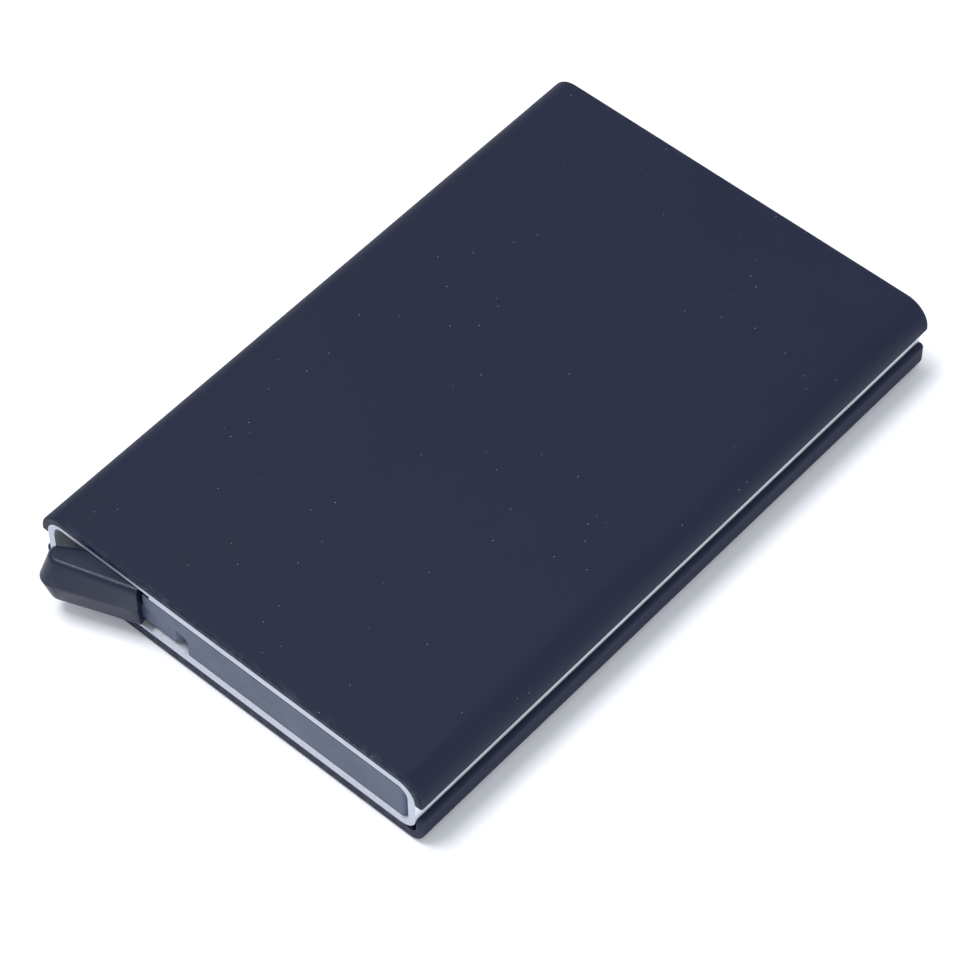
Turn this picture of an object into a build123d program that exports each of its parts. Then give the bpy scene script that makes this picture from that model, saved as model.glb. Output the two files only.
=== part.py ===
"""Minimalist pop-up card wallet: a flat aluminium card sleeve between a dark folded top cover and
a dark bottom tray, with a spring-returned corner lever that pushes the cards out of the far end.

Frame, in millimetres: the origin is the centre of the rest face under the bottom tray.
+X is the width, away from the lever's corner.  +Y is the length, towards the card mouth.
+Z is up, towards the top cover.  The lever end is the plane Y = NEAR, and the names that end in
_IN are distances inside of that plane, so a negative one stands proud of the case.
"""
from build123d import *
import math
import os

# ---- whole case -------------------------------------------------------------
LENGTH = 98.0
NEAR = -LENGTH / 2
FAR = LENGTH / 2
FILM = 0.1                      # thickness of each bonding film
PAST = 1.0                      # how far a cutting solid runs past the face it cuts

# ---- bottom tray ------------------------------------------------------------
TRAY_FLOOR = 1.9
TRAY_HALF = 31.7                # half width outside
TRAY_WALL = 0.8
TRAY_RIM_Z = 4.6                # top of the side walls
TRAY_BOTTOM_R = 1.9             # between the floor and the side walls
TRAY_RIM_R = 0.6
TRAY_END_R = 0.5                # outer edge of both ends

# ---- aluminium card sleeve --------------------------------------------------
TUBE_HALF = 30.8
TUBE_Z0 = TRAY_FLOOR + FILM
TUBE_Z1 = 10.8
TUBE_R = 2.6
TUBE_WALL = 1.1
BORE_HALF = TUBE_HALF - TUBE_WALL
BORE_Z0 = TUBE_Z0 + TUBE_WALL
BORE_Z1 = TUBE_Z1 - TUBE_WALL
BORE_R = TUBE_R - TUBE_WALL

# relief milled inside the lever's corner of the sleeve
RELIEF_SKIN = 0.5               # what is left of its floor and roof
RELIEF_X0 = -29.6
RELIEF_X1 = -13.0
RELIEF_IN = 14.0
RELIEF_CORNER_R = 1.5

# ---- top cover --------------------------------------------------------------
COVER_SHEET = 1.0
COVER_IN_HALF = TUBE_HALF + FILM
COVER_HALF = COVER_IN_HALF + COVER_SHEET
COVER_IN_Z1 = TUBE_Z1 + FILM
COVER_Z1 = COVER_IN_Z1 + COVER_SHEET
COVER_IN_R = TUBE_R + FILM
COVER_R = COVER_IN_R + COVER_SHEET
LIP_Z = 7.6                     # lower edge of the two side lips
LIP_CORNER_R = 0.4
COVER_END_R = 0.3               # outer edge of the cover's ends

# ---- bonding films ----------------------------------------------------------
FILM_HALF_X = 28.0
FILM_HALF_Y = 48.0

# ---- end plug, the moulded chassis of the mechanism ---------------------------
PLUG_Z0 = BORE_Z0 + FILM
PLUG_TOP = 9.1                  # the sleeve's roof stands clear above it
PLUG_X0 = -14.5
PLUG_X1 = 29.2
PLUG_FACE_IN = 0.2
PLUG_WALL_IN = 1.4
PLUG_EDGE_R = 0.9
PLUG_FLOOR_X0 = -13.4
PLUG_FLOOR_Z1 = 3.7
PLUG_BACK_IN = 9.5
STOP_WALL = 1.5                 # wall that the cards' ends rest against
STOP_X0 = -1.0
RIB_WALL = 1.2
RIB_X = (8.0, 18.0, 28.4)
SLOT_X1 = -7.0                  # blind end of the slot that the lever's arm passes through
SLOT_Z1 = 6.6
SLOT_END_R = 1.2

# ---- pivot ------------------------------------------------------------------
PIVOT_X = -3.0
PIVOT_IN = 4.0
PIN_R = 0.9
PIN_CLEARANCE = 0.06
LID_Z1 = 9.6

# ---- lever ------------------------------------------------------------------
HUB_R = 2.2
LEVER_Z0 = 3.8                  # underside of hub, arm and steps, clear of the plug's floor
HUB_Z1 = 7.0
ARM_Z1 = 6.25
CORE_X0 = -25.0
CORE_X1 = -15.7
CORE_FRONT_IN = 0.0
CORE_BACK_IN = 2.9
CORE_Z1 = 9.0
POST_X = -9.0                   # post that the return spring's moving leg pushes
POST_IN = 5.4
POST_R = 0.6
POST_Z1 = 8.0

# The thumb pad's plan at three heights: where its front line starts, at the inner end, how fast
# that line leaves the case, how far the tip reaches, and where the tip turns back to the case.
PAD_BOTTOM = dict(z=2.7, start=(-14.8, -0.45), slope=0.375, tip_x=-27.5, tip_r=1.7, cheek=-2.1)
PAD_RIDGE = dict(z=6.4, start=(-14.7, -0.65), slope=0.42, tip_x=-28.4, tip_r=2.1, cheek=-2.6)
PAD_TOP = dict(z=10.1, start=(-15.1, -0.6), slope=0.30, tip_x=-27.6, tip_r=1.7, cheek=-1.5)
PAD_END_R = 12.6                # inner end, an arc about the pivot
PAD_RUN_X = -12.0               # the plans run on to here before the end is cut
PAD_CHEEK_R = 0.9
PAD_NECK_R = 0.3
PAD_NECK = (-24.2, 0.4)         # where the cheek enters the case
PAD_EDGE_R = 0.8                # along the top and bottom edges

STEP_COUNT = 5
STEP_RISE = 1.04
STEP_RUN = 1.1
STEP_X0 = -26.5
STEP_X1 = -17.0
STEP_BACK_IN = 4.7

# ---- return spring ----------------------------------------------------------
SPRING_WIRE_R = 0.25
SPRING_COIL_R = 2.3
SPRING_Z0 = 7.35
SPRING_PITCH = 0.6
SPRING_START = 90.0             # degrees round the pivot where the moving leg leaves
SPRING_SWEEP = 765.0            # degrees of winding to the fixed leg
SPRING_LEG = 7.0
SPRING_FIXED_LEG = 5.4

# ---- card guides and mouth -----------------------------------------------------
CARD_HALF = 27.3                # half the clear width between the rails
LEFT_RAIL_IN = 14.2
RIGHT_RAIL_IN = 9.7
RAIL_CHAMFER = 0.8
LINER_THICK = 1.5
LINER_Z0 = 3.7
LINER_Z1 = 9.1
LINER_R = 0.8
FELT_THICK = 0.5
FELT_IN0 = 70.0
FELT_IN1 = 92.0
FELT_X0 = 6.0
FELT_X1 = 20.0


def inside(distance):
    """Y of the plane at this distance inside the lever end."""
    return NEAR + distance


def slab(x0, x1, y0, y1, z0, z1):
    """Box between two corners."""
    return Pos((x0 + x1) / 2, (y0 + y1) / 2, (z0 + z1) / 2) * Box(x1 - x0, y1 - y0, z1 - z0)


def bar(half, z0, z1, radius, y0, y1):
    """Solid bar along Y with a rounded rectangular section, centred on X = 0."""
    plane = Plane(origin=(0, y0, (z0 + z1) / 2), x_dir=(1, 0, 0), z_dir=(0, 1, 0))
    return extrude(plane * RectangleRounded(2 * half, z1 - z0, radius), amount=y1 - y0)


def in_bore(shape):
    """The part of the shape that stands clear inside the sleeve's rounded bore."""
    return shape & bar(BORE_HALF - FILM, BORE_Z0 + FILM, BORE_Z1 - FILM, BORE_R, NEAR, FAR)


def rod(x, depth, z0, z1, radius):
    """Upright cylinder at this distance inside the lever end."""
    return Pos(x, inside(depth), (z0 + z1) / 2) * Cylinder(radius, z1 - z0)


def prism(outline, z0, z1):
    """Upright prism on a closed outline of (x, distance inside) points."""
    points = [(x, inside(depth)) for x, depth in outline]
    face = make_face(Polyline(*points, close=True))
    return extrude(Pos(0, 0, z0) * face, amount=z1 - z0)


def outer_rim(pad, z):
    """Edges round the front, tip and cheek of the pad's top or bottom face, at this height."""
    return [edge for edge in pad.edges()
            if abs((edge @ 0).Z - z) < 0.01 and abs((edge @ 1).Z - z) < 0.01
            and (edge @ 0.5).X < PAD_RUN_X - 0.1 and (edge @ 0.5).Y < inside(PAD_NECK[1])]


def edges_where(source, test):
    """Edges of a shape or a list whose middle point passes the test."""
    edges = source if isinstance(source, ShapeList) else source.edges()
    return [edge for edge in edges if test(edge @ 0.5)]


# ---- shells of the case -------------------------------------------------------
def make_inner_tube():
    tube = bar(TUBE_HALF, TUBE_Z0, TUBE_Z1, TUBE_R, NEAR, FAR)
    tube -= bar(BORE_HALF, BORE_Z0, BORE_Z1, BORE_R, NEAR - PAST, FAR + PAST)
    pocket = slab(RELIEF_X0, RELIEF_X1, NEAR - PAST, inside(RELIEF_IN),
                  TUBE_Z0 + RELIEF_SKIN, TUBE_Z1 - RELIEF_SKIN)
    corners = edges_where(pocket.edges().filter_by(Axis.Y), lambda p: p.X < RELIEF_X0 + 1)
    return tube - fillet(corners, RELIEF_CORNER_R)


def make_top_cover():
    cover = bar(COVER_HALF, COVER_Z1 - 4 * COVER_R, COVER_Z1, COVER_R, NEAR, FAR)
    cover -= slab(-COVER_HALF - PAST, COVER_HALF + PAST, NEAR - PAST, FAR + PAST, -2 * COVER_R, LIP_Z)
    lip_ends = edges_where(cover.edges().filter_by(Axis.X), lambda p: abs(p.Z - LIP_Z) < 0.01)
    cover = fillet(lip_ends, LIP_CORNER_R)
    ends = edges_where(cover, lambda p: abs(abs(p.Y) - FAR) < 0.01)
    cover = fillet(ends, COVER_END_R)
    return cover - bar(COVER_IN_HALF, TUBE_Z0, COVER_IN_Z1, COVER_IN_R, NEAR - PAST, FAR + PAST)


def make_bottom_tray():
    top = 4 * TRAY_BOTTOM_R
    tray = bar(TRAY_HALF, 0, top, TRAY_BOTTOM_R, NEAR, FAR)
    tray -= slab(-TRAY_HALF - PAST, TRAY_HALF + PAST, NEAR - PAST, FAR + PAST, TRAY_RIM_Z, top + PAST)
    rims = edges_where(tray.edges().filter_by(Axis.Y), lambda p: abs(p.Z - TRAY_RIM_Z) < 0.01)
    tray = fillet(rims, TRAY_RIM_R)
    tray = fillet(edges_where(tray, lambda p: abs(abs(p.Y) - FAR) < 0.01), TRAY_END_R)
    inner_half = TRAY_HALF - TRAY_WALL
    return tray - bar(inner_half, TRAY_FLOOR, 2 * top, TRAY_BOTTOM_R - TRAY_WALL, NEAR - PAST, FAR + PAST)


def make_film(z0):
    return slab(-FILM_HALF_X, FILM_HALF_X, -FILM_HALF_Y, FILM_HALF_Y, z0, z0 + FILM)


# ---- fixed parts of the mechanism ---------------------------------------------
def make_end_plug():
    wall = slab(PLUG_X0, PLUG_X1, inside(PLUG_FACE_IN), inside(PLUG_WALL_IN), PLUG_Z0, PLUG_TOP)
    front_edge = edges_where(wall.edges().filter_by(Axis.Z),
                             lambda p: p.X > 0 and p.Y < inside(PLUG_WALL_IN) - 0.01)
    wall = fillet(front_edge, PLUG_EDGE_R)
    slot = slab(PLUG_X0 - PAST, SLOT_X1, inside(PLUG_FACE_IN) - PAST, inside(PLUG_WALL_IN) + PAST,
                PLUG_Z0 - PAST, SLOT_Z1)
    slot_end = edges_where(slot.edges().filter_by(Axis.Y), lambda p: p.X > SLOT_X1 - 0.01 and p.Z > PLUG_Z0)
    wall -= fillet(slot_end, SLOT_END_R)
    floor = slab(PLUG_FLOOR_X0, PLUG_X1, inside(PLUG_WALL_IN), inside(PLUG_BACK_IN), PLUG_Z0, PLUG_FLOOR_Z1)
    stop = slab(STOP_X0, PLUG_X1, inside(PLUG_BACK_IN - STOP_WALL), inside(PLUG_BACK_IN), PLUG_Z0, PLUG_TOP)
    plug = wall + floor + stop
    for x in RIB_X:
        plug += slab(x, x + RIB_WALL, inside(PLUG_WALL_IN), inside(PLUG_BACK_IN), PLUG_Z0, PLUG_TOP)
    return in_bore(plug - rod(PIVOT_X, PIVOT_IN, 0, PLUG_FLOOR_Z1 + PAST, PIN_R))


def make_plug_lid():
    lid = slab(PLUG_FLOOR_X0, PLUG_X1, inside(PLUG_WALL_IN), inside(PLUG_BACK_IN), PLUG_TOP, LID_Z1)
    return in_bore(lid - rod(PIVOT_X, PIVOT_IN, PLUG_TOP - PAST, LID_Z1 + PAST, PIN_R))


def make_pivot_pin():
    return rod(PIVOT_X, PIVOT_IN, PLUG_Z0, LID_Z1, PIN_R)


def make_return_spring():
    """Torsion spring: both legs leave the coil along its tangents."""
    def on_coil(degrees):
        angle = math.radians(degrees)
        return (PIVOT_X + SPRING_COIL_R * math.cos(angle),
                inside(PIVOT_IN) + SPRING_COIL_R * math.sin(angle))

    rise = SPRING_PITCH * SPRING_SWEEP / 360
    coil = Helix(SPRING_PITCH, rise, SPRING_COIL_R, lefthand=True)
    coil = Pos(PIVOT_X, inside(PIVOT_IN), SPRING_Z0) * Rot(0, 0, SPRING_START) * coil
    spring = sweep(Plane(origin=coil @ 0, z_dir=coil % 0) * Circle(SPRING_WIRE_R), path=coil, is_frenet=True)
    stop_angle = math.radians(SPRING_START - SPRING_SWEEP)
    legs = [(on_coil(SPRING_START), (-1, 0), SPRING_Z0, SPRING_LEG),
            (on_coil(SPRING_START - SPRING_SWEEP), (math.sin(stop_angle), -math.cos(stop_angle)),
             SPRING_Z0 + rise, SPRING_FIXED_LEG)]
    solids = [spring.solid()]
    for (x, y), (dx, dy), z, length in legs:
        plane = Plane(origin=(x, y, z), z_dir=(dx, dy, 0))
        solids.append(extrude(plane * Circle(SPRING_WIRE_R), amount=length).solid())
    return Compound(solids)


# ---- lever --------------------------------------------------------------------
def make_lever_frame():
    """Hub on the pin, arm through the slot, core inside the thumb pad, post for the spring."""
    arm = prism([(PIVOT_X, PIVOT_IN - HUB_R), (-8.0, PIVOT_IN - HUB_R), (-9.3, 0.4), (CORE_X1 - 0.5, 0.4),
                 (CORE_X1 - 0.5, CORE_BACK_IN), (-10.5, PIVOT_IN + HUB_R), (PIVOT_X, PIVOT_IN + HUB_R)],
                LEVER_Z0, ARM_Z1)
    core = slab(CORE_X0, CORE_X1, inside(CORE_FRONT_IN), inside(CORE_BACK_IN), LEVER_Z0, CORE_Z1)
    frame = arm + core + rod(PIVOT_X, PIVOT_IN, LEVER_Z0, HUB_Z1, HUB_R)
    frame += rod(POST_X, POST_IN, LEVER_Z0, POST_Z1, POST_R)
    return frame - rod(PIVOT_X, PIVOT_IN, 0, HUB_Z1 + PAST, PIN_R + PIN_CLEARANCE)


def pad_plan(z, start, slope, tip_x, tip_r, cheek):
    """Plan of the thumb pad at one height, run on past the arc of its inner end."""
    start_x, start_in = start
    corners = [(PAD_RUN_X, start_in + (PAD_RUN_X - start_x) * slope),
               (tip_x, start_in + (tip_x - start_x) * slope), (tip_x, cheek),
               PAD_NECK, (PAD_NECK[0], CORE_BACK_IN)]
    thumb_side = FilletPolyline(*[(x, inside(depth)) for x, depth in corners],
                                radius=[tip_r, PAD_CHEEK_R, PAD_NECK_R])
    back = Polyline(thumb_side @ 1, (PAD_RUN_X, inside(CORE_BACK_IN)), thumb_side @ 0)
    return Pos(0, 0, z) * make_face([thumb_side, back])


def make_lever_pads():
    """Lower and upper shells of the thumb pad, which meet at its ridge and close round the core."""
    shells = []
    frame = make_lever_frame()
    end = rod(PIVOT_X, PIVOT_IN, 0, 2 * PAD_TOP["z"], PAD_END_R)
    for edge_plan in (PAD_BOTTOM, PAD_TOP):
        low, high = sorted((pad_plan(**edge_plan), pad_plan(**PAD_RIDGE)), key=lambda face: face.center().Z)
        shell = loft([low, high], ruled=True)
        shell = fillet(outer_rim(shell, edge_plan["z"]), PAD_EDGE_R)
        shells.append((shell - end - frame).solid())
    return shells


def make_card_ejector():
    """Staircase behind the thumb pad: each step pushes one card further than the card below it."""
    ejector = None
    for k in range(STEP_COUNT):
        z0 = LEVER_Z0 + k * STEP_RISE
        step = slab(STEP_X0, STEP_X1, inside(CORE_BACK_IN), inside(STEP_BACK_IN + k * STEP_RUN),
                    z0, z0 + STEP_RISE)
        ejector = step if ejector is None else ejector + step
    return ejector


# ---- card guides and mouth -----------------------------------------------------
def make_rail(side, depth):
    """Rail in a side channel of the sleeve; its ends are chamfered so that cards slide in."""
    x0, x1 = sorted((side * CARD_HALF, side * BORE_HALF))
    rail = in_bore(slab(x0, x1, inside(depth), FAR - LINER_THICK, BORE_Z0, BORE_Z1))
    leads = edges_where(rail.edges().filter_by(Axis.Z), lambda p: abs(abs(p.X) - CARD_HALF) < 0.01)
    return chamfer(leads, RAIL_CHAMFER)


def make_mouth_liner():
    ring = in_bore(slab(-BORE_HALF, BORE_HALF, FAR - LINER_THICK, FAR, BORE_Z0, BORE_Z1))
    return ring - bar(CARD_HALF, LINER_Z0, LINER_Z1, LINER_R, FAR - LINER_THICK - PAST, FAR + PAST)


def make_felt(side, z0):
    """Felt strip, held between the sleeve and the rails' level, that brakes the cards."""
    x0, x1 = sorted((side * FELT_X0, side * FELT_X1))
    return slab(x0, x1, inside(FELT_IN0), inside(FELT_IN1), z0, z0 + FELT_THICK)


def build():
    """Every sub-part by name."""
    lower_pad, upper_pad = make_lever_pads()
    nodes = {
        "inner_tube": make_inner_tube(),
        "top_cover": make_top_cover(),
        "bottom_tray": make_bottom_tray(),
        "cover_bond_film": make_film(TUBE_Z1),
        "tray_bond_film": make_film(TRAY_FLOOR),
        "end_plug": make_end_plug(),
        "plug_lid": make_plug_lid(),
        "pivot_pin": make_pivot_pin(),
        "return_spring": make_return_spring(),
        "left_card_rail": make_rail(-1, LEFT_RAIL_IN),
        "right_card_rail": make_rail(1, RIGHT_RAIL_IN),
        "mouth_liner": make_mouth_liner(),
        "lever_frame": make_lever_frame(),
        "lever_lower_pad": lower_pad,
        "lever_upper_pad": upper_pad,
        "card_ejector": make_card_ejector(),
    }
    for side, name in ((-1, "left"), (1, "right")):
        nodes[f"lower_{name}_felt"] = make_felt(side, BORE_Z0)
        nodes[f"upper_{name}_felt"] = make_felt(side, BORE_Z1 - FELT_THICK)
    return nodes


def main():
    os.makedirs("parts", exist_ok=True)
    for name, shape in build().items():
        export_step(shape, f"parts/{name}.step")


if __name__ == "__main__":
    main()
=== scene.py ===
# %% [markdown]
# # A pop-up card wallet
# The wallet is a flat aluminium sleeve for payment cards. A thin dark cover is bonded over its top
# and a dark tray under its bottom. A lever at one corner turns on a pin behind the end plug, and the
# staircase on its back pushes the cards out of the far end. The shapes that move and fit come from
# the CAD frame, so the first step loads that frame and measures it.

# %% Load the CAD frame and measure it
import math

import bpy
from mathutils import Matrix, Vector


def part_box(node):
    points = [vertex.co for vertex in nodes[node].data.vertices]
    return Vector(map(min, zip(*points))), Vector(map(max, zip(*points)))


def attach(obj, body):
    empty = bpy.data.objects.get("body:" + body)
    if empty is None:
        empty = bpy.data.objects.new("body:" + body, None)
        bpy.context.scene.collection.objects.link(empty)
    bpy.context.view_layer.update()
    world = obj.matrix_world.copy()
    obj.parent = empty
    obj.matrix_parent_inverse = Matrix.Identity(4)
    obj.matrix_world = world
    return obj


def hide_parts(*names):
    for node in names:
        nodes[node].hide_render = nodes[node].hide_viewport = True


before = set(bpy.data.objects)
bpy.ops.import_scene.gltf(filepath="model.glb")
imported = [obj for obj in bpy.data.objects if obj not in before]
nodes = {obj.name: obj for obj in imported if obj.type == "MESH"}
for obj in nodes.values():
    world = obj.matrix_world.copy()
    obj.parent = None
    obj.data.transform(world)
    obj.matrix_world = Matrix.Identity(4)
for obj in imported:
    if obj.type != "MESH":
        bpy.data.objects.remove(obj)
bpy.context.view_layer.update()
MM = 0.001

# %% [markdown]
# The glTF import leaves every CAD node selected, and an operator works on all that is selected.
# So everything is deselected once here, and each later step selects only its own piece.


# %% Deselect everything
def deselect_all():
    if bpy.context.object and bpy.context.object.mode != "OBJECT":
        bpy.ops.object.mode_set(mode="OBJECT")
    bpy.ops.object.select_all(action="DESELECT")


def make_active(piece):
    deselect_all()
    piece.select_set(True)
    bpy.context.view_layer.objects.active = piece


deselect_all()
print("CAD nodes:", len(nodes))

# %% [markdown]
# ## Building materials from nodes
# Each finish is a Principled shader fed by a few noise patterns. All patterns read Object
# coordinates in metres, so a scale of 1000 gives features of about one millimetre, and they stay put
# on the piece when the lever turns. A short helper class keeps the node wiring readable: each method
# adds one node, links it, and returns its output.


# %% A helper that wires shader nodes
class Finish:
    """One procedural material, built node by node."""

    def __init__(self, name, color, roughness, metallic=0.0, specular=0.5):
        self.material = bpy.data.materials.new(name)
        self.material.use_nodes = True
        self.tree = self.material.node_tree
        self.shader = self.tree.nodes["Principled BSDF"]
        self.shader.inputs["Base Color"].default_value = (*color, 1)
        self.shader.inputs["Roughness"].default_value = roughness
        self.shader.inputs["Metallic"].default_value = metallic
        self.shader.inputs["Specular IOR Level"].default_value = specular
        self.where = self.add("ShaderNodeTexCoord").outputs["Object"]

    def add(self, kind, **inputs):
        node = self.tree.nodes.new(kind)
        for name, value in inputs.items():
            self.feed(node.inputs[name.replace("_", " ")], value)
        return node

    def feed(self, socket, value):
        if isinstance(value, bpy.types.NodeSocket):
            self.tree.links.new(value, socket)
        else:
            socket.default_value = value

    def stretched(self, x, y, z):
        """Object coordinates, multiplied along each axis."""
        return self.add("ShaderNodeMapping", Vector=self.where, Scale=(x, y, z)).outputs["Vector"]

    def noise(self, scale, detail=2.0, roughness=0.5, vector=None):
        node = self.add("ShaderNodeTexNoise", Scale=scale, Detail=detail, Roughness=roughness)
        self.feed(node.inputs["Vector"], self.where if vector is None else vector)
        return node.outputs["Fac"]

    def spread(self, value, low, high, to_low=0.0, to_high=1.0):
        """Stretches the part of a pattern between low and high, and clamps the rest."""
        node = self.add("ShaderNodeMapRange", Value=value, From_Min=low, From_Max=high,
                        To_Min=to_low, To_Max=to_high)
        return node.outputs["Result"]

    def math(self, operation, first, second=0.0):
        node = self.add("ShaderNodeMath")
        node.operation = operation
        self.feed(node.inputs[0], first)
        self.feed(node.inputs[1], second)
        return node.outputs["Value"]

    def axis(self, name):
        return self.add("ShaderNodeSeparateXYZ", Vector=self.where).outputs[name]

    def blend(self, amount, first, second):
        """Mixes two colours."""
        node = self.add("ShaderNodeMix")
        node.data_type = "RGBA"
        self.feed(node.inputs["Factor"], amount)
        for socket, value in ((node.inputs[6], first), (node.inputs[7], second)):
            self.feed(socket, (*value, 1) if isinstance(value, tuple) else value)
        return node.outputs[2]

    def bump(self, height, depth, under=None):
        """Relief from a pattern: depth is the height in metres of its full range."""
        node = self.add("ShaderNodeBump", Height=height, Distance=depth, Strength=1.0)
        if under is not None:
            self.feed(node.inputs["Normal"], under)
        return node.outputs["Normal"]

    def finish(self, color=None, roughness=None, normal=None):
        for name, value in (("Base Color", color), ("Roughness", roughness), ("Normal", normal)):
            if value is not None:
                self.feed(self.shader.inputs[name], value)
        return self.material


def paint(material, *names):
    """Gives a CAD node's every material slot this finish."""
    for name in names:
        for place in nodes[name].material_slots:
            place.material = material
    print(material.name, "->", ", ".join(names))


# %% [markdown]
# ## The matt coating of the cover and the tray
# The two covers are thin aluminium sheet with a soft-touch coating, a very dark navy that looks
# almost black. On the real thing the coating has a fine grain, a faint cloudiness, sparse pale specks
# of dust and a few hairline scuffs. Where hands rub the ends they are smoother, and a painted highlight
# lightens their edges. One flat colour would look like a computer drawing, so each of those is its own
# noise, mixed in lightly.


# %% Make the matt coating
def matt_coating():
    navy = (0.0091, 0.0122, 0.0322)
    f = Finish("matt_navy_coating", navy, 0.58, specular=0.16)
    cloud = f.spread(f.noise(55, 3, 0.55), 0.35, 0.68)
    color = f.blend(cloud, (0.0087, 0.0117, 0.0310), (0.0095, 0.0127, 0.0334))
    grain = f.noise(5200, 2, 0.6)
    color = f.blend(f.spread(grain, 0.60, 0.80, 0, 0.25), color, (0.022, 0.028, 0.052))
    # Painted highlight: the last 0.8 mm of each cover end is lightened, mixed with rub noise that also
    # lowers the roughness.
    ends = f.spread(f.math("ABSOLUTE", f.axis("Y")), 0.0482, 0.0490)
    wear_and_painted_highlight = f.math("MULTIPLY", ends, f.spread(f.noise(900, 3, 0.6), 0.45, 0.70, 0, 0.5))
    color = f.blend(wear_and_painted_highlight, color, (0.045, 0.052, 0.078))
    cells = f.add("ShaderNodeTexVoronoi", Vector=f.where, Scale=700.0)
    dot = f.spread(cells.outputs["Distance"], 0.060, 0.030)
    chosen = f.add("ShaderNodeSeparateColor", Color=cells.outputs["Color"]).outputs["Red"]
    dust = f.math("MULTIPLY", dot, f.spread(chosen, 0.60, 0.62))
    color = f.blend(f.math("MULTIPLY", dust, 0.45), color, (0.50, 0.54, 0.62))
    streak = f.noise(1.0, 2, 0.5, f.stretched(2600, 90, 2600))
    scuff = f.spread(streak, 0.68, 0.78)
    rough = f.math("ADD", f.spread(cloud, 0, 1, 0.56, 0.60), f.math("MULTIPLY", scuff, -0.08))
    rough = f.math("ADD", rough, f.math("MULTIPLY", wear_and_painted_highlight, -0.15))
    relief = f.bump(grain, 0.000012, f.bump(f.noise(1400, 2, 0.5), 0.000010))
    return f.finish(color, rough, f.bump(dust, 0.00002, relief))


coating = matt_coating()
paint(coating, "top_cover", "bottom_tray")

# %% [markdown]
# ## Satin aluminium
# The sleeve is an extruded tube, so its faces carry fine lines along its length, drawn by the die,
# and its sawn ends carry short cross lines. Stretching a noise along Y gives the die lines. The ends
# face along Y, where that stretch shows as mere speckle, so within a few hundredths of a millimetre
# of the tube's ends a second noise, fine in Z, takes over as the marks of the saw. The satin anodised
# skin scatters light as well as mirroring it, so the shader is only about half metallic. A full metal
# would mirror the dark covers beside it, and its narrow side strip would look black. The same mask
# paints shade on the sawn ends, darkening them towards a blue-grey so that they look duller than the
# drawn faces.


# %% Make the aluminium
def bare_aluminium():
    f = Finish("bare_aluminium", (0.77, 0.79, 0.84), 0.45, metallic=0.55)
    drawn = f.noise(1.0, 3, 0.6, f.stretched(5200, 45, 5200))
    sawn = f.noise(1.0, 2, 0.5, f.stretched(700, 700, 5600))
    tube_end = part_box("inner_tube")[1].y
    at_end = f.spread(f.math("ABSOLUTE", f.axis("Y")), tube_end - 0.06 * MM, tube_end - 0.02 * MM)
    lines = f.add("ShaderNodeMix", Factor=at_end)
    f.feed(lines.inputs[2], drawn)
    f.feed(lines.inputs[3], sawn)
    lines = lines.outputs[0]
    stain = f.spread(f.noise(130, 3, 0.6), 0.4, 0.7)
    color = f.blend(f.spread(lines, 0.3, 0.7), (0.70, 0.725, 0.785), (0.83, 0.845, 0.885))
    color = f.blend(f.math("MULTIPLY", stain, 0.15), color, (0.60, 0.62, 0.67))
    # Painted shade: the sawn ends are darkened towards a blue-grey.
    color = f.blend(f.math("MULTIPLY", at_end, 0.6), color, (0.30, 0.33, 0.44))
    rough = f.math("ADD", f.spread(lines, 0.2, 0.8, 0.38, 0.54), f.math("MULTIPLY", stain, 0.06))
    return f.finish(color, rough, f.bump(lines, 0.000010))


paint(bare_aluminium(), "inner_tube")

# %% [markdown]
# ## The moulded plastics
# Three plastics are used: a slate-blue one for the end plug and the lever's frame, a darker satin one
# for the thumb pad, and black for the hidden rails and the mouth. All have the fine spark-eroded
# texture of a mould and slow changes of tone where the melt cooled unevenly. One function makes all
# of them, and only its numbers differ.


# %% Make the plastics
def moulded_plastic(name, dark, light, roughness, texture_scale, texture_depth, specular=0.4):
    f = Finish(name, light, roughness, specular=specular)
    flow = f.spread(f.noise(170, 3, 0.5), 0.35, 0.68)
    grain = f.noise(texture_scale, 3, 0.6)
    color = f.blend(flow, dark, light)
    shade = tuple(channel * 0.55 for channel in dark)
    color = f.blend(f.spread(grain, 0.60, 0.30, 0, 0.30), color, shade)
    polished = f.spread(f.noise(420, 2, 0.5), 0.50, 0.72)
    rough = f.math("ADD", f.spread(grain, 0.3, 0.7, roughness - 0.05, roughness + 0.06),
                   f.math("MULTIPLY", polished, -0.07))
    return f.finish(color, rough, f.bump(grain, texture_depth))


slate = moulded_plastic("slate_plastic", (0.059, 0.074, 0.131), (0.075, 0.093, 0.160), 0.52, 4200, 0.000012)
pad_plastic = moulded_plastic("thumb_pad_plastic", (0.010, 0.0135, 0.034), (0.012, 0.016, 0.039),
                              0.38, 3800, 0.000009, specular=0.25)
black = moulded_plastic("black_plastic", (0.012, 0.012, 0.015), (0.022, 0.022, 0.026), 0.50, 4000, 0.000012)
paint(slate, "end_plug", "plug_lid", "lever_frame")
paint(pad_plastic, "lever_upper_pad", "lever_lower_pad")
paint(black, "left_card_rail", "right_card_rail", "mouth_liner", "card_ejector")

# %% [markdown]
# ## The two shells of the thumb pad
# The pad is moulded as two shells that meet half way up, and a fine dark line runs round it there.
# Each shell's mould edge is very slightly broken, and it is that small bevel that catches the light
# and lets the line be seen. An imported mesh has split corners, so the copy's vertices are
# merged and its flat triangles dissolved first. Otherwise the bevel modifier finds no clean edge.


# %% Break the edges of the pad shells
def apply_modifier(piece, kind, **settings):
    modifier = piece.modifiers.new(kind.lower(), kind)
    for name, value in settings.items():
        setattr(modifier, name, value)
    bpy.ops.object.modifier_apply(modifier=modifier.name)


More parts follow.
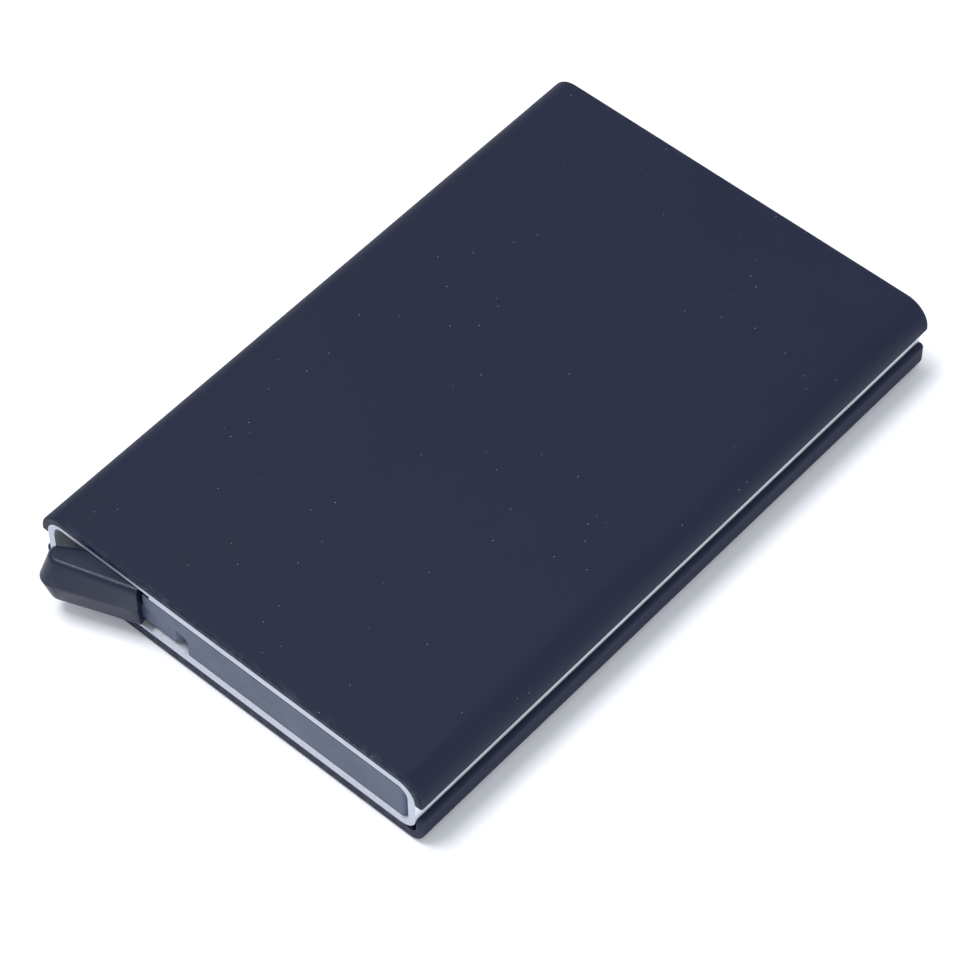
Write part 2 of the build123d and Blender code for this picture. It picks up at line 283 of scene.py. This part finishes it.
def pad_shell(node):
    make_active(nodes[node])
    bpy.ops.object.duplicate()
    shell = bpy.context.object
    shell.name = node + "_shell"
    for key in list(shell.keys()):
        del shell[key]
    bpy.ops.object.mode_set(mode="EDIT")
    bpy.ops.mesh.select_all(action="SELECT")
    bpy.ops.mesh.remove_doubles(threshold=0.002 * MM)
    bpy.ops.mesh.dissolve_limited(angle_limit=math.radians(0.5))
    bpy.ops.object.mode_set(mode="OBJECT")
    apply_modifier(shell, "BEVEL", width=0.13 * MM, segments=2, limit_method="ANGLE",
                   angle_limit=math.radians(50))
    bpy.ops.object.shade_smooth_by_angle(angle=math.radians(35))
    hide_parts(node)
    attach(shell, "lever")
    print(shell.name, "vertices:", len(shell.data.vertices))


pad_shell("lever_upper_pad")
pad_shell("lever_lower_pad")

# %% [markdown]
# ## Spring steel and bonding film
# The pin and the spring are drawn wire: polished, with fine lines and small dark spots of oil. The
# covers are held on by a thin clear film with tiny trapped bubbles.


# %% Make the steel and the film
def drawn_steel():
    f = Finish("drawn_steel", (0.56, 0.56, 0.58), 0.25, metallic=1.0)
    lines = f.noise(1.0, 3, 0.6, f.stretched(900, 900, 9000))
    oil = f.spread(f.noise(1500, 3, 0.6), 0.58, 0.70)
    color = f.blend(oil, (0.60, 0.60, 0.62), (0.34, 0.33, 0.32))
    return f.finish(color, f.spread(lines, 0.3, 0.7, 0.20, 0.36), f.bump(lines, 0.000004))


def bonding_film():
    f = Finish("bonding_film", (0.62, 0.63, 0.65), 0.35, specular=0.5)
    bubbles = f.add("ShaderNodeTexVoronoi", Vector=f.where, Scale=1500.0).outputs["Distance"]
    mark = f.spread(bubbles, 0.18, 0.10)
    color = f.blend(mark, (0.60, 0.61, 0.63), (0.74, 0.75, 0.77))
    return f.finish(color, f.spread(f.noise(600), 0.3, 0.7, 0.30, 0.45), f.bump(mark, 0.00001))


paint(drawn_steel(), "pivot_pin", "return_spring")
paint(bonding_film(), "cover_bond_film", "tray_bond_film")

# %% [markdown]
# ## The brake felts
# Four strips of pressed felt near the mouth stop the cards from sliding out. The CAD has plain
# blocks, so each is remade: a cube at the strip's place, its rim bevelled, its face divided and then
# roughened by a cloud displacement, as cut felt has soft edges and an uneven nap.


# %% Make the felt finish
def pressed_felt():
    f = Finish("pressed_felt", (0.05, 0.05, 0.06), 0.95, specular=0.1)
    fibre = f.noise(1.0, 4, 0.7, f.stretched(3000, 5200, 4000))
    tuft = f.noise(1500, 4, 0.7)
    color = f.blend(fibre, (0.028, 0.029, 0.035), (0.075, 0.077, 0.088))
    f.shader.inputs["Sheen Weight"].default_value = 0.4
    f.shader.inputs["Sheen Roughness"].default_value = 0.6
    return f.finish(color, f.spread(tuft, 0.3, 0.7, 0.88, 1.0), f.bump(tuft, 0.00006))


felt = pressed_felt()


# %% [markdown]
# The strip is shaped while it is a plain box, so the bevel rounds only its twelve real edges. The
# faces are divided after that, because the displacement needs vertices to move. The box starts a
# little smaller than the CAD block, so that its raised nap stays inside it.


# %% Shape one felt strip
def felt_strip(node):
    low, high = (Vector(corner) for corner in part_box(node))
    size = high - low
    skin = Vector((0.2, 0.2, 0.06)) * MM
    deselect_all()
    bpy.ops.mesh.primitive_cube_add(size=1, location=(low + high) / 2, scale=size - 2 * skin)
    strip = bpy.context.object
    strip.name = node + "_nap"
    bpy.ops.object.transform_apply(location=True, rotation=True, scale=True)
    apply_modifier(strip, "BEVEL", width=0.1 * MM, segments=2, limit_method="ANGLE")
    bpy.ops.object.mode_set(mode="EDIT")
    bpy.ops.mesh.select_all(action="SELECT")
    bpy.ops.mesh.subdivide(number_cuts=24)
    bpy.ops.object.mode_set(mode="OBJECT")
    nap = bpy.data.textures.new("nap", "CLOUDS")
    nap.noise_scale = 0.7 * MM
    apply_modifier(strip, "DISPLACE", texture=nap, strength=0.08 * MM, mid_level=0.5)
    bpy.ops.object.shade_smooth()
    strip.data.materials.append(felt)
    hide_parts(node)
    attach(strip, "case")
    print(strip.name, "faces:", len(strip.data.polygons))


for level in ("lower", "upper"):
    for side in ("left", "right"):
        felt_strip(f"{level}_{side}_felt")

# %% [markdown]
# ## Floor, light and camera
# The wallet lies on a plain white sweep under soft light, so its shadow is pale and slightly blue.
# A white world does most of the work, as a light tent does. The key lamp hangs overhead, away from
# the direction in which the flat cover would mirror it into the camera, which would wash the coating
# out. A second lamp low on the right lights the sleeve's strip between the cover and the tray.

# %% Lay the floor
deselect_all()
bpy.ops.mesh.primitive_plane_add(size=6.0, location=(0, 0, -0.00004))
floor = bpy.context.object
floor.name = "floor"
bpy.ops.object.transform_apply(location=True, rotation=True, scale=True)
paper = Finish("white_paper", (0.93, 0.94, 0.955), 0.9, specular=0.1)
fibres = paper.noise(900, 3, 0.6)
floor.data.materials.append(paper.finish(paper.blend(fibres, (0.93, 0.94, 0.955), (0.95, 0.955, 0.965))))


# %% [markdown]
# Both lamps are large discs, since the edge of a shadow is as soft as its lamp is wide. Each one is
# turned to face the wallet. The Standard view keeps white as white and the dark coating dark, where
# the default filmic view would lift the blacks.


# %% Set up the light
def area_light(name, place, size, watts, color):
    lamp = bpy.data.lights.new(name, "AREA")
    lamp.shape = "DISK"
    lamp.size = size
    lamp.energy = watts
    lamp.color = color
    holder = bpy.data.objects.new(name, lamp)
    holder.location = place
    holder.rotation_euler = (-Vector(place)).to_track_quat("-Z", "Y").to_euler()
    bpy.context.scene.collection.objects.link(holder)


world = bpy.data.worlds.new("light_tent")
world.use_nodes = True
world.node_tree.nodes["Background"].inputs["Color"].default_value = (0.90, 0.94, 1.0, 1)
world.node_tree.nodes["Background"].inputs["Strength"].default_value = 0.72
bpy.context.scene.world = world
area_light("key", (-0.30, -0.15, 1.0), 0.5, 8.0, (1.0, 1.0, 1.0))
area_light("fill", (0.95, -0.25, 0.35), 0.6, 4.0, (0.95, 0.97, 1.0))
bpy.context.scene.view_settings.view_transform = "Standard"

# %% [markdown]
# The camera looks down at the lever's corner from half a metre through a long lens, which keeps the
# long edges nearly parallel. It turns about the wallet's middle, and aims a little below it.

# %% Place the camera
AZIMUTH = math.radians(42.1)
ELEVATION = math.radians(51.9)
ROLL = math.radians(-0.9)
DISTANCE = 0.495
LENS = 145.5
AIM_LEFT = 1.7 * MM
AIM_BELOW = 5.7 * MM
middle = Vector((0, 0, 5.95 * MM))
level = Vector((math.sin(AZIMUTH), -math.cos(AZIMUTH), 0))
back = level * math.cos(ELEVATION) + Vector((0, 0, math.sin(ELEVATION)))
right = Vector((math.cos(AZIMUTH), math.sin(AZIMUTH), 0))
up = back.cross(right)
eye = middle + back * DISTANCE
tilted_right = right * math.cos(ROLL) + up * math.sin(ROLL)
tilted_up = up * math.cos(ROLL) - right * math.sin(ROLL)
aim = middle - tilted_right * AIM_LEFT - tilted_up * AIM_BELOW
facing = (eye - aim).normalized()
sideways = tilted_up.cross(facing).normalized()
axes = Matrix((sideways, facing.cross(sideways), facing)).transposed()
camera_data = bpy.data.cameras.new("camera")
camera_data.lens = LENS
camera_data.sensor_width = 36
camera = bpy.data.objects.new("camera", camera_data)
camera.matrix_world = Matrix.Translation(eye) @ axes.to_4x4()
bpy.context.scene.collection.objects.link(camera)
bpy.context.scene.camera = camera
print("camera at", [round(v, 3) for v in camera.location])

# %% [markdown]
# ## Update the scene
# The last line updates the view layer, so that every piece's place in the scene is current.

# %% Update the view layer
bpy.context.view_layer.update()
